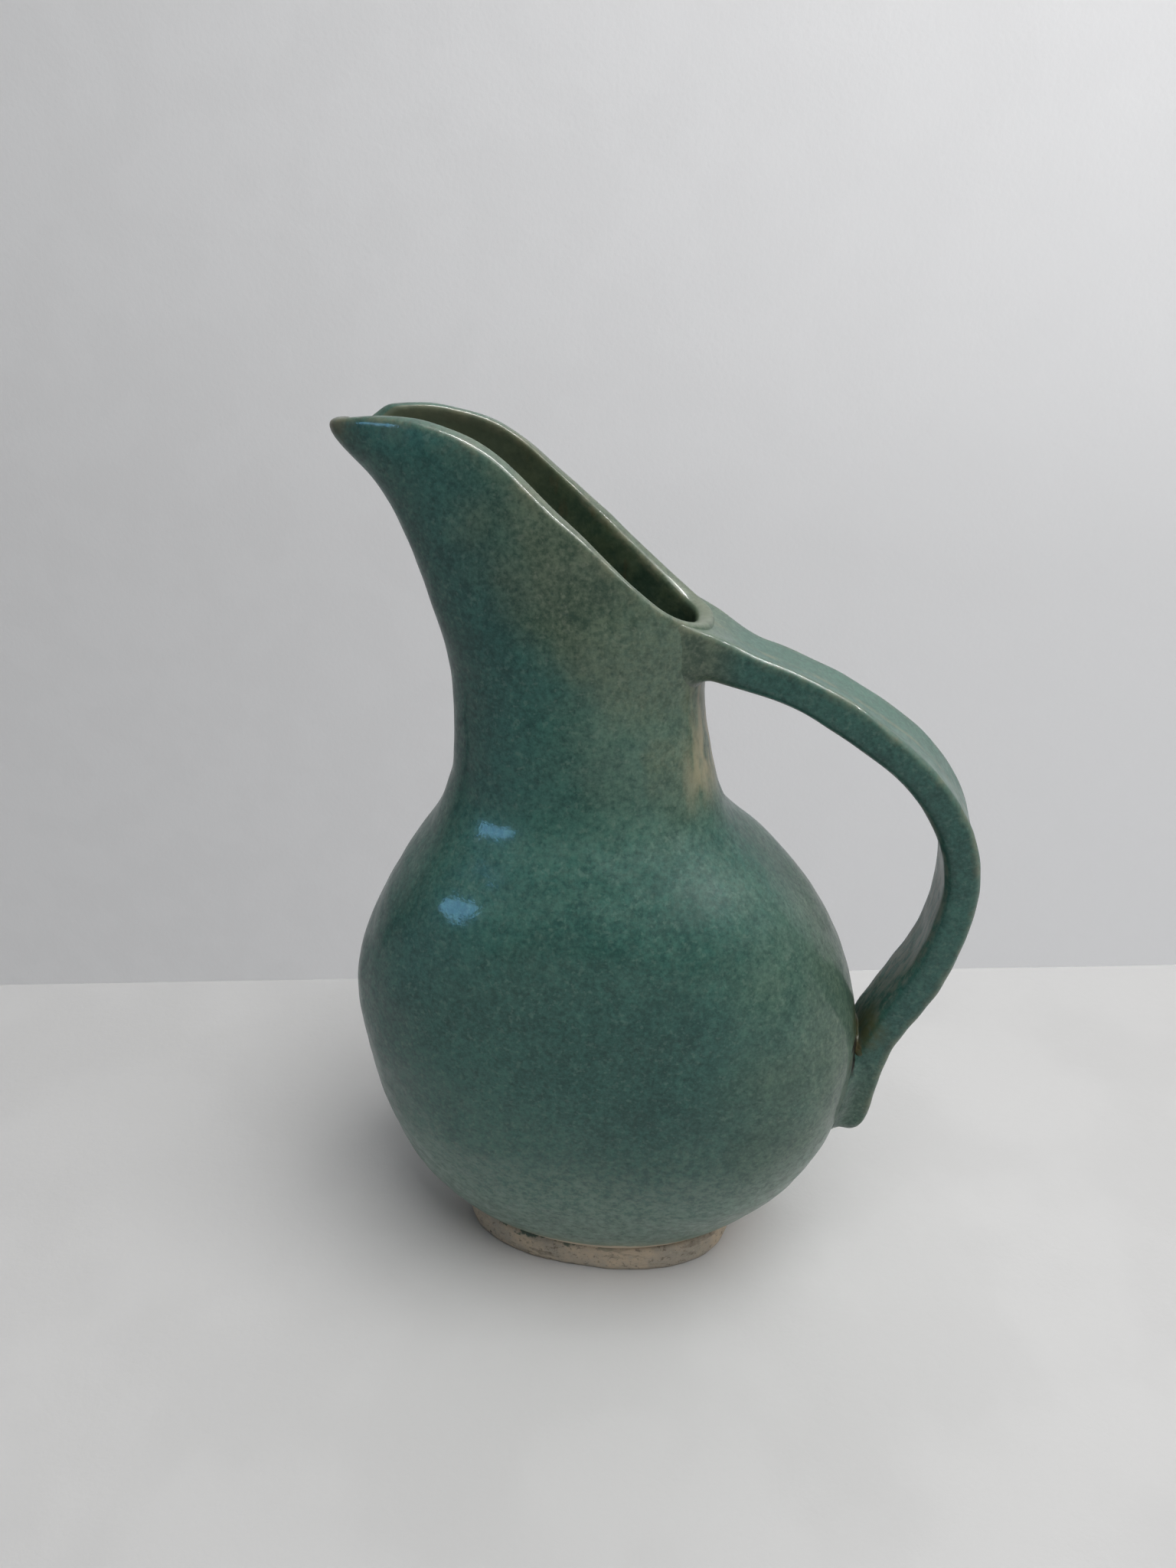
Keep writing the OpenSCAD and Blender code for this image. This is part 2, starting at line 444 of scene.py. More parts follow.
def glaze_bump(n):
    """The glaze's slow ripple and its fine orange-peel."""
    ripple = n.bump(n.noise(9, 2.0, 2.2), 0.18)
    return n.bump(n.noise(0.9, 2.0, 6.6), 0.035, ripple)


def edge_break(n, colour):
    """Glaze thins over the edges, where the clay's buff shows through."""
    buff = rgb(0.25, 0.235, 0.15)
    wear = n.math("MULTIPLY", n.layer("edge"), n.span(n.noise(7, 4.0, 9.0, 0.7), 0.40, 0.64, 0.15, 1.0))
    return n.mix(colour, buff, n.math("MULTIPLY", wear, 0.5))


def crotch_stain(n, colour):
    """Olive glaze pooled in the handle's crotch, with a dark crack and a pale flake on its near side."""
    olive = rgb(0.085, 0.100, 0.045)
    brown = rgb(0.110, 0.090, 0.045)
    crack = rgb(0.008, 0.007, 0.004)
    flake = rgb(0.33, 0.36, 0.29)
    x = n.axis("X")
    z = n.axis("Z")
    near_side = n.span(n.axis("Y"), -6, -8)

    def spot(at_x, at_z, radius, soft):
        dx = n.math("SUBTRACT", x, at_x)
        dz = n.math("SUBTRACT", z, at_z)
        square = n.math("ADD", n.math("MULTIPLY", dx, dx), n.math("MULTIPLY", dz, dz))
        return n.math("MULTIPLY", n.span(n.math("SQRT", square), radius + soft, radius), near_side)

    blotchy = n.span(n.noise(3, 3.0, 4.0), 0.3, 0.6, 0.3, 0.9)
    pool = n.near((82, -7, 101), 3, 8)
    colour = n.mix(colour, olive, n.math("MULTIPLY", pool, blotchy))
    colour = n.mix(colour, brown, n.math("MULTIPLY", spot(80.6, 94.5, 0.8, 2.2), 0.7))
    across = n.math("SUBTRACT", x, n.math("ADD", 79.9, n.math("MULTIPLY", n.noise(5, 2.0, 1.0), 1.2)))
    line = n.span(n.math("ABSOLUTE", across), 0.9, 0.35)
    line = n.math("MULTIPLY", line, n.span(z, 83, 88))
    line = n.math("MULTIPLY", line, n.span(z, 101, 98))
    line = n.math("MAXIMUM", n.math("MULTIPLY", line, near_side), spot(80.2, 98.4, 0.9, 0.6))
    colour = n.mix(colour, crack, line)
    return n.mix(colour, flake, spot(81.6, 100.6, 0.7, 0.8))


def glossy(n, colour, low, high):
    """The glaze's finish: a soft body under a thin glassy coat, with the same ripple in both."""
    roughness = n.span(n.noise(5, 3.0, 21.0), 0.3, 0.7, low, high)
    normal = glaze_bump(n)
    n.tree.links.new(normal, n.shader.inputs["Coat Normal"])
    return n.finish(
        colour, roughness, normal, Coat_Weight=0.38, Coat_Roughness=0.11, IOR=1.4, Specular_IOR_Level=0.35
    )


def vessel_material():
    n = Nodes("sage_glaze")
    x = n.axis("X")
    z = n.axis("Z")
    wander = n.math("MULTIPLY", n.noise(22, 3.0, 7.0), 40.0)
    x_drift = n.math("ADD", x, wander)
    z_drift = n.math("ADD", z, wander)
    on_neck = n.span(z, 165, 190)
    below_rim = n.math("ADD", z_drift, n.math("MULTIPLY", x, 0.85))
    by_rim = n.math("MULTIPLY", n.span(below_rim, 222, 248, 0.0, 0.85), n.span(x_drift, -22, 8))
    by_root = n.math("MAXIMUM", n.span(x_drift, 30, 45, 0.0, 0.85), n.span(x_drift, 0, 30, 0.0, 0.3))
    on_neck_warm = n.math("MULTIPLY", on_neck, n.math("MAXIMUM", by_rim, by_root))
    to_handle = n.span(x_drift, 50, 105, 0.0, 0.7)
    low_down = n.span(z_drift, 75, 30, 0.0, 0.4)
    warm = n.math("MAXIMUM", on_neck_warm, n.math("MAXIMUM", to_handle, low_down))
    # Painted light: the belly is lightened where it turns up to the neck and faces the lamp above, low down
    # where the floor's light reaches it, and on the right side and the neck's right, towards the light.
    painted_shoulder_light = n.math("MULTIPLY", n.span(z_drift, 140, 180, 0.0, 0.11), n.span(z, 186, 172))
    painted_light_share = n.math("ADD", painted_shoulder_light, n.span(z_drift, 118, 58, 0.0, 0.46))
    painted_light_share = n.math("ADD", painted_light_share, n.span(x_drift, 40, 90, 0.0, 0.10))
    painted_light_share = n.math("ADD", painted_light_share, n.math("MULTIPLY", on_neck, n.span(x_drift, 14, 34, 0.0, 0.18)))
    colour = glaze_colour(n, warm, painted_light_share)
    lip = rgb(0.185, 0.205, 0.140)
    colour = n.mix(colour, lip, n.math("MULTIPLY", n.layer("outer"), 0.6))
    tip_buff = rgb(0.125, 0.125, 0.080)
    patchy = n.span(n.noise(4, 3.0, 6.0), 0.35, 0.6, 0.3, 0.9)
    at_tip = n.math("MULTIPLY", n.near((-69, 0, 277), 2, 9), patchy)
    colour = n.mix(colour, tip_buff, at_tip)
    buff = rgb(0.43, 0.375, 0.24)
    up_the_neck = n.math("MULTIPLY", n.span(z, 174, 190), n.span(z, 219, 212))
    streak = n.math("MULTIPLY", n.span(x, 22, 30), up_the_neck)
    ragged = n.span(n.noise(5, 3.0, 3.0, 0.6, (1, 1, 4)), 0.36, 0.6, 0.1, 1.0)
    streak = n.math("MULTIPLY", streak, ragged)
    colour = n.mix(colour, buff, n.math("MULTIPLY", streak, 0.8))
    pale_edge = rgb(0.27, 0.34, 0.26)
    low = n.math("ADD", z, n.math("MULTIPLY", n.noise(8, 3.0, 12.0), -8.0))
    colour = n.mix(colour, pale_edge, n.span(low, 23, 8, 0.0, 0.65))
    clay = rgb(0.60, 0.50, 0.375)
    clay_line = n.math("ADD", z, n.math("MULTIPLY", n.noise(6, 3.0, 15.0), 5.0))
    clay_line = n.math("SUBTRACT", clay_line, n.span(x, -42, -18, 0.0, 4.0))
    colour = n.mix(colour, clay, n.span(clay_line, 15.2, 14.4))
    moss = rgb(0.085, 0.120, 0.062)
    deep_green = rgb(0.022, 0.052, 0.030)
    rust = rgb(0.10, 0.06, 0.02)
    pale_moss = rgb(0.125, 0.142, 0.092)
    inner = n.mix(moss, deep_green, n.span(n.noise(6, 4.0, 2.0, 0.65), 0.35, 0.65))
    rusty = n.span(n.noise(5, 3.0, 8.0, 0.6, (1, 1, 3)), 0.58, 0.7, 0.0, 0.4)
    inner = n.mix(inner, rust, rusty)
    inner = n.mix(inner, colour, 0.3)
    inner = n.mix(inner, pale_moss, n.span(x, 0, -45, 0.0, 0.75))
    colour = n.mix(colour, inner, n.layer("inside"))
    colour = edge_break(n, colour)
    return glossy(n, crotch_stain(n, colour), 0.42, 0.58)


def strap_material():
    n = Nodes("mint_glaze")
    x = n.axis("X")
    z = n.axis("Z")
    at_neck = n.math("MULTIPLY", n.span(x, 40, 28), n.span(z, 190, 200, 0.0, 0.85))
    warm = n.math("MAXIMUM", at_neck, n.span(z, 105, 70, 0.0, 0.45))
    # Painted light: the strap's lower end is lightened a touch, like the low belly.
    colour = glaze_colour(n, warm, n.span(z, 120, 80, 0.03, 0.0))
    mint = rgb(0.150, 0.225, 0.175)
    colour = n.mix(colour, mint, n.math("MULTIPLY", n.layer("outer"), 0.35))
    grey = rgb(0.16, 0.185, 0.155)
    scrapes = n.span(n.noise(1.8, 4.0, 9.0, 0.7, (2, 1, 4)), 0.38, 0.62, 0.05, 0.9)
    colour = n.mix(colour, grey, n.math("MULTIPLY", n.layer("inner"), scrapes))
    colour = edge_break(n, colour)
    return glossy(n, crotch_stain(n, colour), 0.42, 0.58)


def lute_material():
    n = Nodes("olive_lute")
    olive = rgb(0.050, 0.062, 0.028)
    brown = rgb(0.04, 0.03, 0.014)
    colour = n.mix(olive, brown, n.span(n.noise(4, 3.0, 1.0), 0.4, 0.65))
    colour = crotch_stain(n, colour)
    normal = n.bump(n.noise(2.5, 4.0, 3.0), 0.25)
    return n.finish(colour, n.span(n.noise(3, 2.0, 5.0), 0.3, 0.7, 0.35, 0.6), normal, Coat_Weight=0.3)


def clay_material():
    n = Nodes("bare_clay")
    warm = rgb(0.64, 0.53, 0.39)
    grey = rgb(0.45, 0.405, 0.33)
    umber = rgb(0.20, 0.17, 0.13)
    dark_grit = rgb(0.16, 0.13, 0.10)
    pale_grit = rgb(0.55, 0.49, 0.40)
    pit = rgb(0.05, 0.04, 0.03)
    glaze = rgb(0.03, 0.09, 0.065)
    colour = n.mix(warm, grey, n.span(n.noise(14, 4.0, 1.5, 0.65), 0.38, 0.66))
    turning = n.noise(4, 4.0, 6.1, 0.7, (4, 4, 1))
    colour = n.mix(colour, umber, n.span(turning, 0.47, 0.32, 0.0, 0.6))
    sand = n.noise(1.8, 5.0, 4.4, 0.75)
    colour = n.mix(colour, dark_grit, n.span(sand, 0.47, 0.33, 0.0, 0.8))
    colour = n.mix(colour, pale_grit, n.span(sand, 0.54, 0.68, 0.0, 0.7))
    pits = n.span(n.cells(7, 2.0), 0.10, 0.05)
    colour = n.mix(colour, pit, pits)
    z = n.axis("Z")
    smear = n.math("ADD", z, n.math("MULTIPLY", n.noise(5, 3.0, 31.0, 0.6), 9.0))
    drips = n.math("MULTIPLY", n.span(smear, 14.4, 15.2), n.span(n.axis("X"), 20, -15, 0.15, 1.0))
    colour = n.mix(colour, glaze, n.math("MULTIPLY", drips, 0.85))
    coarse = n.bump(n.noise(3.5, 4.0, 7.7, 0.7), 0.3)
    fine = n.bump(n.noise(0.7, 3.0, 9.1, 0.6), 0.12, coarse)
    normal = n.bump(pits, -0.6, fine)
    return n.finish(colour, n.span(sand, 0.3, 0.7, 0.75, 0.95), normal)


def underside_material():
    n = Nodes("washed_clay")
    warm = rgb(0.38, 0.32, 0.26)
    stain = rgb(0.22, 0.17, 0.12)
    glaze = rgb(0.09, 0.16, 0.11)
    dark_grit = rgb(0.16, 0.12, 0.09)
    colour = n.mix(warm, stain, n.span(n.noise(16, 4.0, 2.5, 0.6), 0.4, 0.7))
    grain = n.noise(0.9, 3.0, 3.4, 0.6)
    colour = n.mix(colour, dark_grit, n.span(grain, 0.42, 0.26, 0.0, 0.6))
    colour = n.mix(colour, glaze, n.span(n.axis("Z"), 14, 16))
    normal = n.bump(grain, 0.12, n.bump(n.noise(4, 3.0, 1.7), 0.25))
    return n.finish(colour, n.span(grain, 0.3, 0.7, 0.7, 0.92), normal)


# ---------------------------------------------------------------- pieces

TURNS = 300


def lip_radius(u):
    """Half the lip's thickness: fuller at the spout's tip and at the handle's root."""
    tip = np.exp(-((np.abs(u - math.pi) / 0.45) ** 2))
    root = np.exp(-((np.minimum(u, TAU - u) / 0.5) ** 2))
    return NECK_WALL / 2 + 1.3 * tip + 0.3 * root


def build_vessel():
    """Belly, neck and spout as one continuous wall, from the foot over the lip and down inside."""
    far_dip = 3
    steepest = 1.8
    lip_power = 0.65
    corner_r = 7
    wall_change = 52
    tucked_edge = ((12, 7.0), (10.4, 6.0), (10.0, 3.0), (9.9, 1.6), (10.1, 0.8), (10.5, 0.3), (11.1, 0.05))

    u = np.arange(TURNS) * TAU / TURNS
    radius = lip_radius(u)
    top = crest_height(u, radius)
    ahead = wall_point(u, top, radius)
    top = top - far_dip * smoothstep(-55.5, -63, ahead[:, 0]) * smoothstep(0.5, 4, ahead[:, 1])
    ahead = wall_point(u, top, radius)
    step = np.roll(ahead, -1, axis=0) - np.roll(ahead, 1, axis=0)
    lean = np.hypot(step[:, 0], step[:, 1])
    steepness = np.sqrt(1 + (step[:, 2] / lean) ** 2)
    steepness = np.minimum(steepness, steepest)

    rows = []
    edge = []
    inside = []
    outer = []
    root_end = smoothstep(0.7, 0.95, np.cos(u))

    def ring(z, inset, edge_value=0.0, inside_value=0.0, outer_value=0.0):
        rows.append(wall_point(u, z + 0 * u, inset + 0 * u))
        edge.append(edge_value * (1 - root_end))
        inside.append(inside_value + 0 * u)
        outer.append(outer_value * (0.3 + 0.7 * root_end))

    for z, inset in tucked_edge:
        ring(z, inset)
    for z in np.arange(12, SHOULDER_Z, 1.5):
        ring(z, 0)
    rim = top - radius * steepness
    for share in np.linspace(0, 1, 74):
        near_rim = smoothstep(0.94, 1, share)
        ring(SHOULDER_Z + (rim - SHOULDER_Z) * share, 0, 0.3 * near_rim)
    for angle in np.linspace(0, math.pi, 15)[1:]:
        across = powered(np.cos(angle), lip_power)
        upward = np.sin(angle) ** lip_power
        height = rim + radius * steepness * upward
        side = max(0.0, 1 - abs(abs(math.cos(angle)) - 0.75) / 0.45)
        within = 0.5 - 0.5 * across if angle > 2.2 else 0.0
        ring(height, radius * (1 - across), 0.35 + 0.65 * side, within, math.sin(angle) ** 2)
    inner_low = FLOOR_LEVEL + corner_r
    for share in np.linspace(1, 0, 60)[1:]:
        z = SHOULDER_Z + (rim - SHOULDER_Z) * share
        ring(z, NECK_WALL + (2 * radius - NECK_WALL) * smoothstep(0.8, 1, share), 0.0, 1.0)
    for z in np.arange(SHOULDER_Z - 3, inner_low, -3.0):
        ring(z, NECK_WALL + (BELLY_WALL - NECK_WALL) * min(1, (SHOULDER_Z - z) / wall_change), 0.0, 1.0)
    for angle in np.linspace(0, math.pi / 2, 7):
        ring(inner_low - corner_r * math.sin(angle), BELLY_WALL + corner_r * (1 - math.cos(angle)), 0.0, 1.0)
    ring(14, 12.5, 0.0, 1.0)
    points = warp(np.array(rows))
    piece = make_piece(
        "vessel",
        points,
        grid_faces(len(rows), TURNS, True),
        vessel_material(),
        {"edge": np.array(edge), "inside": np.array(inside), "outer": np.array(outer)},
    )
    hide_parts("belly_wall", "neck_spout")
    return piece


def disc_faces(rings, columns):
    """Quads of a ring grid, with a fan of one polygon at each end."""
    faces = grid_faces(rings, columns, False)
    faces.append(list(range(columns - 1, -1, -1)))
    faces.append([(rings - 1) * columns + i for i in range(columns)])
    return faces


def build_floor():
    """Floor slab with turning rings underneath and a throwing spiral's rings inside."""
    columns = 120
    u = np.arange(columns) * TAU / columns
    base = wall_point(u, 14.0 + 0 * u, 0 * u)
    rows = []
    shares = np.concatenate([np.linspace(0.04, 0.84, 42), [0.87, 0.89]])
    for share in shares:
        ring = base * share
        turning = 0.22 * math.cos(share * 60) * (1 - share)
        dimple = 0.25 * smoothstep(0.1, 0, share)
        ring[:, 2] = FOOT_H - 0.15 + turning + dimple
        rows.append(ring)
    for share in shares[::-1]:
        ring = base * share
        ring[:, 2] = FLOOR_LEVEL + 0.35 * math.cos(share * 44) * (1 - share)
        rows.append(ring)
    points = np.array(rows)
    points[..., 2] += rough(points, 25, 5, 0.1)
    faces = disc_faces(len(rows), columns)
    piece = make_piece("floor_disc", points, faces, underside_material())
    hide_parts("floor_slab")
    return piece


def build_foot():
    """Turned foot ring with worn, slightly ragged edges."""
    columns = 240
    u = np.arange(columns) * TAU / columns
    p = 2 / FOOT_SQUARENESS
    profile = [
        (FOOT_WALL, 9.0), (FOOT_WALL, 5.0), (FOOT_WALL - 0.2, 2.0), (FOOT_WALL - 0.5, 0.9),
        (FOOT_WALL - 1.1, 0.25), (FOOT_WALL - 2, 0.0), (5.0, 0.0), (3.5, 0.0), (2.0, 0.0),
        (1.2, 0.15), (0.6, 0.5), (0.25, 1.1), (0.05, 2.0), (0.0, 3.0), (0.05, 4.2), (0.1, 5.4),
        (0.15, 6.6), (0.25, 7.8), (0.35, 8.9), (0.6, 9.8), (1.2, 10.6), (3.0, 11.2), (6.0, 11.0),
    ]
    rows = []
    for inset, z in profile:
        half_w = FOOT_HALF_W - inset
        half_d = FOOT_HALF_D - inset
        x = half_w * powered(np.cos(u), p)
        y = half_d * powered(np.sin(u), p)
        rows.append(np.stack([x, y, z + 0 * x], axis=-1))
    points = np.array(rows)
    outward = points.copy()
    outward[..., 2] = 0
    outward /= np.linalg.norm(outward, axis=-1, keepdims=True)
    chips = rough(points, 9, 21, 0.12) + rough(points, 3.4, 22, 0.06) - 0.12
    points += outward * chips[..., None]
    low = smoothstep(2.5, 0, points[..., 2])
    points[..., 2] = np.maximum(0, points[..., 2] + low * np.maximum(0, rough(points, 6, 23, 0.22)))
    piece = make_piece("foot_ring_turned", points, grid_faces(len(rows), columns, True), clay_material())
    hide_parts("foot_ring")
    return piece


def strap_section(w, t):
    """The strap's section, turning from its outer +Y corner.

    Its outer edges are crisp, its inner ones soft, its back is dished and its belly a little full.
    """
    outer_r = 1.8
    inner_r = 3.4
    dish_depth = 0.75
    belly_depth = 0.5
    corners = ((1, 1, outer_r), (-1, 1, outer_r), (-1, -1, inner_r), (1, -1, inner_r))
    points = []
    for quarter, (sy, sn, r) in enumerate(corners):
        for k in range(8):
            a = math.radians(90 * quarter + 90 * k / 7)
            points.append((sy * (w / 2 - r) + r * math.cos(a), sn * (t / 2 - r) + r * math.sin(a)))
        steps = 12 if quarter in (0, 2) else 4
        for k in range(1, steps):
            share = k / steps
            if quarter == 0:
                points.append((w / 2 - outer_r - (w - 2 * outer_r) * share, t / 2))
            elif quarter == 1:
                points.append((-w / 2, t / 2 - outer_r - (t - outer_r - inner_r) * share))
            elif quarter == 2:
                points.append((-w / 2 + inner_r + (w - 2 * inner_r) * share, -t / 2))
            else:
                points.append((w / 2, -t / 2 + inner_r + (t - outer_r - inner_r) * share))
    q = np.array(points)
    back = q[:, 1] > t / 2 - 0.4
    dish = np.clip(1 - (np.abs(q[:, 0]) / (w / 2 - 1.6)) ** 2, 0, 1)
    q[:, 1] -= np.where(back, dish_depth * dish, 0)
    belly = q[:, 1] < -t / 2 + 0.4
    q[:, 1] -= np.where(belly, belly_depth * np.clip(1 - (2 * q[:, 0] / w) ** 2, 0, 1), 0)
    return q


def strap_line(s):
    """Middle line with thickness, and direction, at shares of the strap's length; straight on before 0."""
    steps = np.linspace(0, 1, 400)
    n = len(STRAP_LINE) - 1
    f = np.minimum(steps * n, n - 1e-4)
    i = f.astype(int)
    t = (f - i)[:, None]
    a = STRAP_LINE[np.maximum(i - 1, 0)]
    b = STRAP_LINE[i]
    c = STRAP_LINE[i + 1]
    d = STRAP_LINE[np.minimum(i + 2, n)]
    line = 0.5 * (2 * b + (c - a) * t + (2 * a - 5 * b + 4 * c - d) * t**2 + (3 * b - a - 3 * c + d) * t**3)
    line = np.stack([blurred(line[:, k], 7) for k in range(3)], axis=-1)
    lengths = np.concatenate([[0], np.cumsum(np.hypot(*np.diff(line[:, :2], axis=0).T))])
    at = s * lengths[-1]
    p = np.stack([np.interp(at, lengths, line[:, k]) for k in range(3)], axis=-1)
    way = np.gradient(line[:, :2], lengths, axis=0)
    v = np.stack([np.interp(at, lengths, way[:, k]) for k in range(2)], axis=-1)
    v /= np.linalg.norm(v, axis=-1, keepdims=True)
    before = np.minimum(at, 0)[..., None]
    p[..., :2] += v * before
    return p, v


def fillet(gap, radius):
    """How far a surface spreads sideways, at a gap from another, to meet it in a hollow of that radius."""
    x = np.clip(gap / radius, 0, 1)
    return radius * (1 - np.sqrt(np.maximum(0, 1 - (1 - x) ** 2)))


def end_rings(ring, depth):
    """Rings that close the strap's buried root along the wall, at a depth inside the clay."""
    middle = ring.mean(axis=0)
    rings = []
    for share in (0.1, 0.35, 0.6, 0.85):
        p = middle + (ring - middle) * share
        gap, outward = vessel_side(p)
        rings.append(p - outward * (gap + depth)[:, None])
    return np.array(rings)


def build_strap():
    """Pulled strap: flush with the rim at its root, filleted on to the neck, pressed on to the belly."""
    stations = 260
    root_depth = 2.4
    bury = 0.25
    deepest = 3.6
    end_r = 5.5
    end_t = 4.5
    droop = 2.6
    half_t = STRAP_T / 2
    tail_half_w = (STRAP_W + TAIL_EXTRA_W) / 2
    section = strap_section(STRAP_W, STRAP_T)
    columns = len(section)

    def surface(s_grid):
        """Points for a grid of shares, one column for each point of the section."""
        p, v = strap_line(s_grid)
        out = np.zeros(s_grid.shape + (3,))
        for c in range(columns):
            s = s_grid[:, c]
            w = STRAP_W + TAIL_EXTRA_W * np.clip((s - 0.8) / 0.2, 0, 1) ** 2
            across, out_of_back = section[c]
            t = p[:, c, 2]
            edge_y = across * w / STRAP_W
            depth = out_of_back * t / STRAP_T
            depth = depth - 4 * smoothstep(0.84, 0.92, s) * min(1, max(0, -out_of_back / 3))
            out[:, c, 0] = p[:, c, 0] - v[:, c, 1] * depth
            out[:, c, 1] = edge_y
            out[:, c, 2] = p[:, c, 1] + v[:, c, 0] * depth
        return out

    # Each column of points starts where it lies root_depth inside the wall.
    probe = np.linspace(-0.08, 0.12, 120)
    probe_grid = np.repeat(probe[:, None], columns, axis=1)
    gap, _ = vessel_side(surface(probe_grid))
    start = np.array([np.interp(-root_depth, gap[:, c], probe) for c in range(columns)])
    run = np.linspace(0, 1, stations) ** 1.3
    shares = start[None, :] + (1 - start[None, :]) * run[:, None]
    points = surface(shares)

    lateral = np.clip(section[:, 0] / (STRAP_W / 2), -1, 1)[None, :]
    height = np.clip((section[:, 1] + half_t) / STRAP_T, 0, 1)[None, :]

    # The tail's rounded end.
    cap_rows = []
    _, v = strap_line(np.ones(1))
    for angle in np.linspace(0, math.pi / 2, 7)[1:]:
        row = points[-1].copy()
        middle = row.mean(axis=0)
        forward = np.array([v[0, 0], 0, v[0, 1]])
        shrink = end_r * (1 - math.cos(angle))
        row[:, 1] *= (tail_half_w - shrink) / tail_half_w
        offset = row - middle
        normal = np.array([-v[0, 1], 0, v[0, 0]])
        part = offset @ normal
        part = np.where(part > 0, part, 0.3 * part)
        row -= normal[None, :] * (part * shrink / end_t)[:, None]
        row += forward * end_r * math.sin(angle)
        cap_rows.append(row)
    lift = np.array([v[0, 0], 0, v[0, 1]]) * (droop - end_r)
    points = np.concatenate([points, np.array(cap_rows)])
    tail_weight = smoothstep(0.8, 1.0, np.concatenate([shares.mean(axis=1), np.ones(len(cap_rows))]))
    points = points + lift[None, None, :] * tail_weight[:, None, None]

    # Near the vessel the root spreads on to the wall in a hollow, and so does the tail.
    gap, outward = vessel_side(points)
    normals = grid_normals(points)
    at_root = np.concatenate([shares, np.ones((len(cap_rows), columns))]) < 0.4

    side_r = 5 + 5 * height + 0 * gap
    y_axis = np.zeros_like(points)
    y_axis[..., 1] = np.sign(lateral + 1e-9)
    along_wall = y_axis - np.sum(y_axis * outward, axis=-1, keepdims=True) * outward
    along_wall /= np.linalg.norm(along_wall, axis=-1, keepdims=True)
    spread = fillet(gap, side_r) * np.abs(lateral)
    move = along_wall * spread[..., None]
    down = np.zeros_like(points)
    down[..., 2] = -1
    down -= np.sum(down * outward, axis=-1, keepdims=True) * outward
    under = np.clip(-section[:, 1] / half_t, 0, 1)[None, :]
    move += down * (fillet(gap, 3.5 + 0 * gap) * under)[..., None]

    tangent = normals - np.sum(normals * outward, axis=-1, keepdims=True) * outward
    flare = 1.2 + 4.6 * smoothstep(94, 76, points[..., 2])
    flare = 1.5 + (flare - 1.5) * smoothstep(0.3, 0.8, np.abs(normals[..., 1]))
    tail_move = tangent * fillet(gap, flare)[..., None]
    moved = points + np.where(at_root[..., None], move, tail_move)
    for _ in range(2):
        new_gap, outward = vessel_side(moved)
        moved = moved - outward * (new_gap - np.minimum(gap, new_gap + 3))[..., None]
    points = moved - outward * (bury * smoothstep(1.5, 0, gap))[..., None]

    # The tail's end turns up at both corners, and a groove runs round its sides.
    low_end = smoothstep(68, 60, points[..., 2])
    outer_corner = 3.2 * smoothstep(82, 88, points[..., 0])
    inner_corner = 1.8 * smoothstep(80, 75, points[..., 0])
    points[..., 2] += low_end * (outer_corner + inner_corner)
    too_deep = np.maximum(0, -deepest - vessel_side(points)[0])
    points += outward * too_deep[..., None]
    groove = 0.5 * np.exp(-((gap - 3.4) / 1.1) ** 2) * smoothstep(88, 78, points[..., 2])
    points[..., 1] -= np.sign(lateral) * groove * smoothstep(0.8, 1, np.abs(lateral))

    # The root's back rises flush with the rim, and its near edge is raised further on.
    past_crest = np.clip(points[..., 0] - CREST_END, 0, 40)
    rim_level = crest(np.clip(points[..., 0], -60, CREST_END), 1) - 0.4 * past_crest
    flush = rim_level - 0.12
    blend = smoothstep(16, 0, np.maximum(gap, 0)) * at_root
    rise = np.clip(flush - points[..., 2] + (section[:, 1] - half_t)[None, :], -6, 6)
    points[..., 2] += rise * blend * smoothstep(0.35, 0.9, height)
    along = np.concatenate([shares, np.ones((len(cap_rows), columns))])
    near_ridge = smoothstep(-0.3, -0.95, lateral) * smoothstep(0.4, 0.9, height)
    out_of_neck = smoothstep(31, 43, points[..., 0]) * smoothstep(90, 66, points[..., 0])
    stretch = out_of_neck * smoothstep(0.42, 0.34, along)
    points[..., 2] += 2 * near_ridge * stretch
    points = np.concatenate([end_rings(points[0], root_depth + bury), points])

    points = warp(points)
    from_edge = np.hypot(
        section[:, 0] - np.sign(section[:, 0]) * (STRAP_W / 2 - 0.8),
        section[:, 1] - 4.2,
    )
    edge = np.clip(1 - from_edge / 2.0, 0, 1)
    outer = smoothstep(3.2, 4.4, section[:, 1])
    inner = smoothstep(-3.5, -4.8, section[:, 1])
    rows = len(points)
    piece = make_piece(
        "strap",
        points,
        disc_faces(rows, columns),
        strap_material(),
        {
            "edge": np.repeat(edge[None, :], rows, axis=0),
            "outer": np.repeat(outer[None, :], rows, axis=0),
            "inner": np.repeat(inner[None, :], rows, axis=0),
        },
    )
    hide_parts("strap_handle", "upper_lute")
    return piece


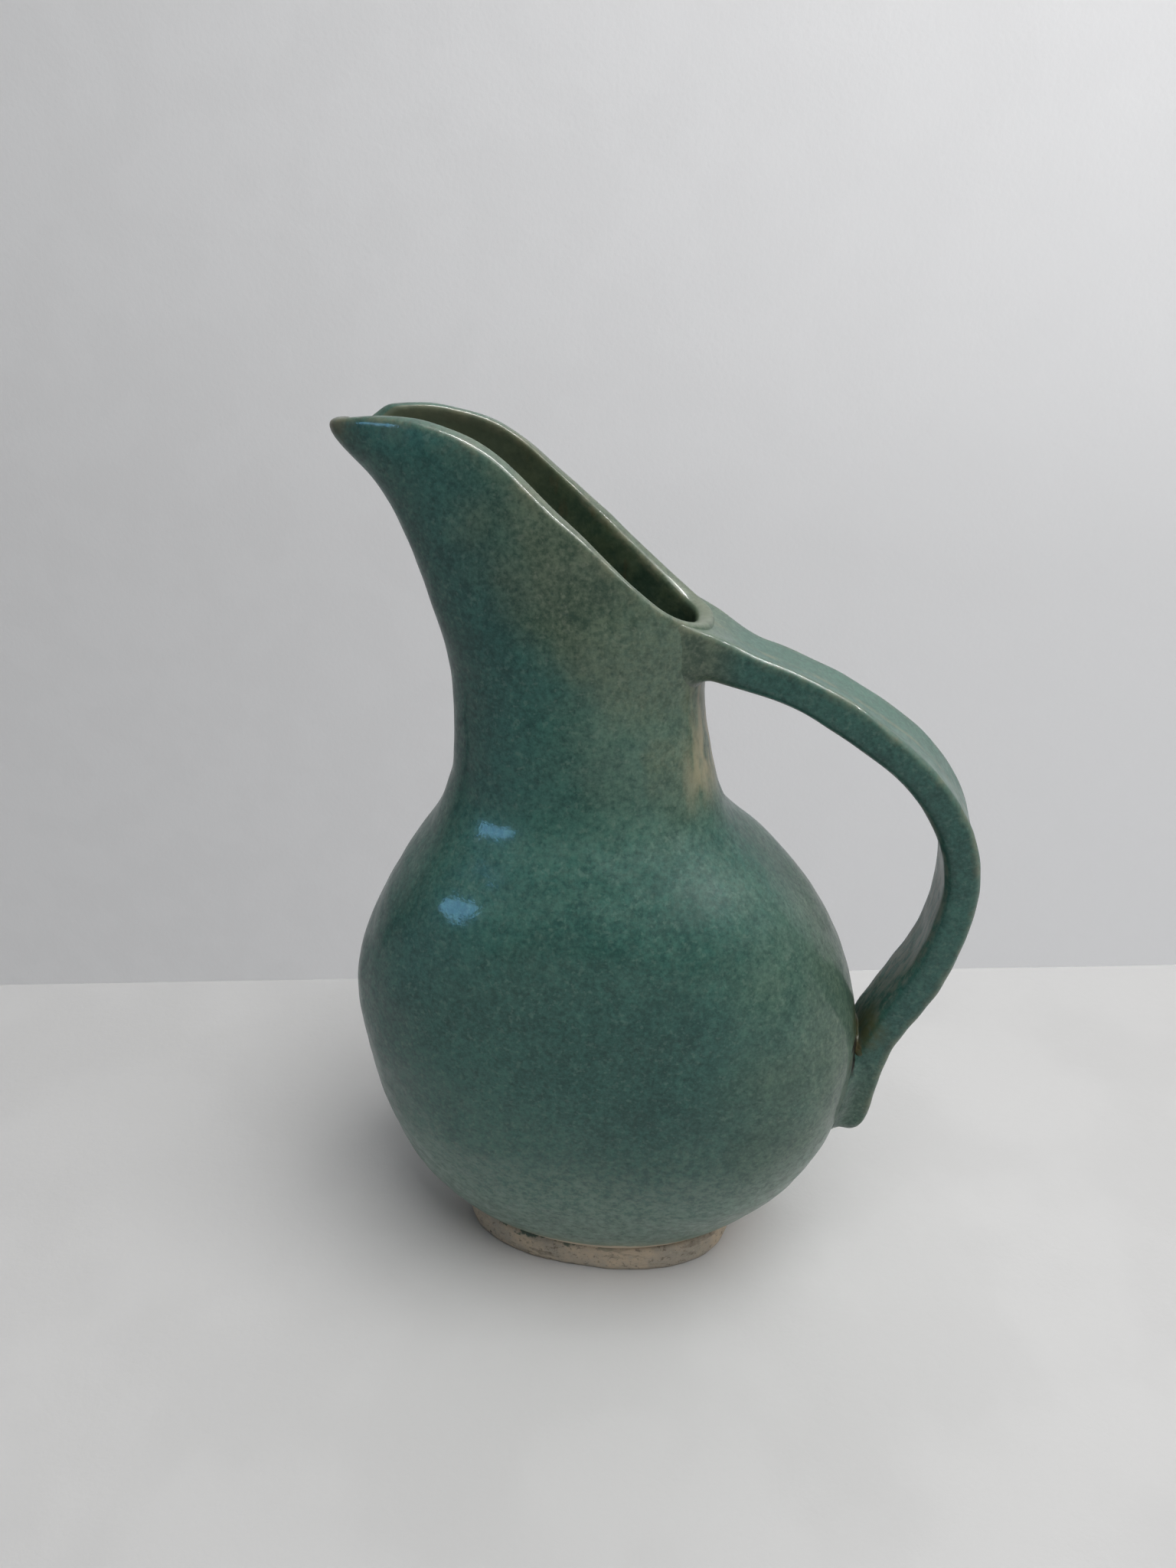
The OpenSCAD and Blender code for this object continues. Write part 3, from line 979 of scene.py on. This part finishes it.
def build_lute():
    """The wad of clay worked into the crotch between the strap and the belly."""
    rings = 44
    columns = 40
    half_x = 3.6
    half_y = 9.8
    half_z = 5.0
    blunt_y = 9.9
    centre_x = CROTCH[0] - 0.8
    centre_z = CROTCH[1] - 5.5
    a = np.arange(columns) * TAU / columns
    rows = []
    for share in np.linspace(-1, 1, rings):
        y = half_y * math.sin(share * math.pi / 2)
        fade = max(0.04, (1 - abs(y / blunt_y) ** 4) ** 0.5)
        x = centre_x + half_x * fade * np.cos(a)
        z = centre_z + half_z * fade * np.sin(a)
        rows.append(np.stack([x, y + 0 * x, z], axis=-1))
    points = np.array(rows)
    centre = np.array([centre_x, 0, centre_z])
    away = points - centre
    away[..., 1] *= 0.3
    away /= np.linalg.norm(away, axis=-1, keepdims=True)
    points += away * (rough(points, 7, 41, 0.45) + rough(points, 2.6, 42, 0.18))[..., None]
    points = warp(points)
    piece = make_piece("crotch_lute", points[:, ::-1], disc_faces(rings, columns), lute_material())
    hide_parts("lower_lute")
    return piece


# ---------------------------------------------------------------- stage, light and camera

def paper_material(name, colour, depth, painted_light_to_right=1):
    """Matt, slightly uneven white; the last argument is painted light: how much brighter it gets towards +X,
    where the room's light comes from.
    """
    n = Nodes(name)
    tone = n.noise(60, 3.0, 1.0)
    shade = n.mix(rgb(*colour), rgb(*[c * 0.97 for c in colour]), n.span(tone, 0.4, 0.6))
    if painted_light_to_right != 1:
        shade = n.mix(shade, rgb(*[c * painted_light_to_right for c in colour]), n.span(n.axis("X"), -700, 900))
    normal = n.bump(n.noise(5, 3.0, 5.0, 0.6), depth)
    return n.finish(shade, n.span(tone, 0.3, 0.7, 0.85, 0.95), normal)


def build_stage():
    """A white sheet on a table, and a white wall and ground beyond its back edge."""
    seam_y = 0.131
    seam_slope = 0.1784
    reach = 2.0
    board = 0.02
    corners = [
        (-reach, -reach, 0), (reach, -reach, 0),
        (reach, seam_y + seam_slope * reach, 0), (-reach, seam_y - seam_slope * reach, 0),
    ]
    lower = [(x, y, -board) for x, y, _ in corners]
    sides = [(0, 1, 2, 3), (7, 6, 5, 4)] + [(i, i + 4, (i + 1) % 4 + 4, (i + 1) % 4) for i in range(4)]
    mesh = bpy.data.meshes.new("table")
    mesh.from_pydata(corners + lower, [], sides)
    mesh.materials.append(paper_material("paper", (0.64, 0.64, 0.64), 0.15))
    table = bpy.data.objects.new("table", mesh)
    wall_y = 0.75
    half_room = 3
    ground = -1.2
    ceiling = 2.5
    room_corners = [
        (-half_room, wall_y, ground), (half_room, wall_y, ground),
        (half_room, wall_y, ceiling), (-half_room, wall_y, ceiling),
        (-half_room, -half_room, ground), (half_room, -half_room, ground),
    ]
    wall_mesh = bpy.data.meshes.new("wall")
    wall_mesh.from_pydata(room_corners, [], [(0, 1, 2, 3), (4, 5, 1, 0)])
    # The wall is painted lighter towards the right and glows a little: painted light standing in for how the
    # room's light falls on it.
    wall_paint = paper_material("wall_paint", (0.62, 0.625, 0.64), 0.3, 1.4)
    glow = wall_paint.node_tree.nodes["Principled BSDF"]
    glow.inputs["Emission Color"].default_value = (1, 1, 1, 1)
    glow.inputs["Emission Strength"].default_value = 0.22
    wall_mesh.materials.append(wall_paint)
    wall = bpy.data.objects.new("wall", wall_mesh)
    for o in (table, wall):
        bpy.context.scene.collection.objects.link(o)


def area_light(name, place, target, size, power, colour):
    """A rectangular lamp at a place, facing a target."""
    data = bpy.data.lights.new(name, "AREA")
    data.shape = "RECTANGLE"
    data.size = size[0]
    data.size_y = size[1]
    data.energy = power
    data.color = colour
    lamp = bpy.data.objects.new(name, data)
    lamp.location = place
    lamp.rotation_mode = "QUATERNION"
    lamp.rotation_quaternion = (Vector(target) - Vector(place)).to_track_quat("-Z", "Y")
    bpy.context.scene.collection.objects.link(lamp)
    return lamp


def build_light():
    """Dim room light, a broad lamp overhead and three that only show as glints in the glaze."""
    scene = bpy.context.scene
    world = bpy.data.worlds.new("room")
    world.use_nodes = True
    world.node_tree.nodes["Background"].inputs["Color"].default_value = (0.95, 0.98, 1.0, 1)
    world.node_tree.nodes["Background"].inputs["Strength"].default_value = 0.05
    scene.world = world
    centre = (0, 0, 0.14)
    area_light("ceiling", (0.38, -0.28, 1.25), centre, (0.95, 0.85), 15.5, (1.0, 0.99, 0.98))
    glints = (
        area_light("strip_lamp", (0.35, 0.05, 1.35), centre, (0.06, 1.1), 36, (1.0, 1.0, 0.98)),
        area_light("window", (-1.2, -0.87, 0.51), centre, (0.6, 0.27), 5.5, (0.25, 0.6, 1.0)),
        area_light("far_lamp", (1.1, 0.04, 1.05), centre, (0.06, 0.06), 5.0, (1.0, 1.0, 1.0)),
    )
    for lamp in glints:
        lamp.visible_diffuse = False


def build_camera():
    """Camera at the assumed place, pitch, turn and lens of the reference view."""
    place = (0.04027, -0.29344, 0.34678)
    pitch = math.radians(30)
    turn = math.radians(-8.6)
    forward = Vector((math.sin(turn) * math.cos(pitch), math.cos(turn) * math.cos(pitch), -math.sin(pitch)))
    right = Vector((math.cos(turn), -math.sin(turn), 0))
    up = right.cross(forward)
    data = bpy.data.cameras.new("camera")
    data.lens = 27.05
    data.sensor_width = 36
    data.clip_start = 0.01
    data.clip_end = 50
    camera = bpy.data.objects.new("camera", data)
    camera.matrix_world = Matrix((
        (right.x, up.x, -forward.x, place[0]),
        (right.y, up.y, -forward.y, place[1]),
        (right.z, up.z, -forward.z, place[2]),
        (0, 0, 0, 1),
    ))
    bpy.context.scene.collection.objects.link(camera)
    bpy.context.scene.camera = camera


build_vessel()
build_floor()
build_foot()
build_strap()
build_lute()
build_stage()
build_light()
build_camera()
bpy.context.scene.view_settings.view_transform = "Standard"
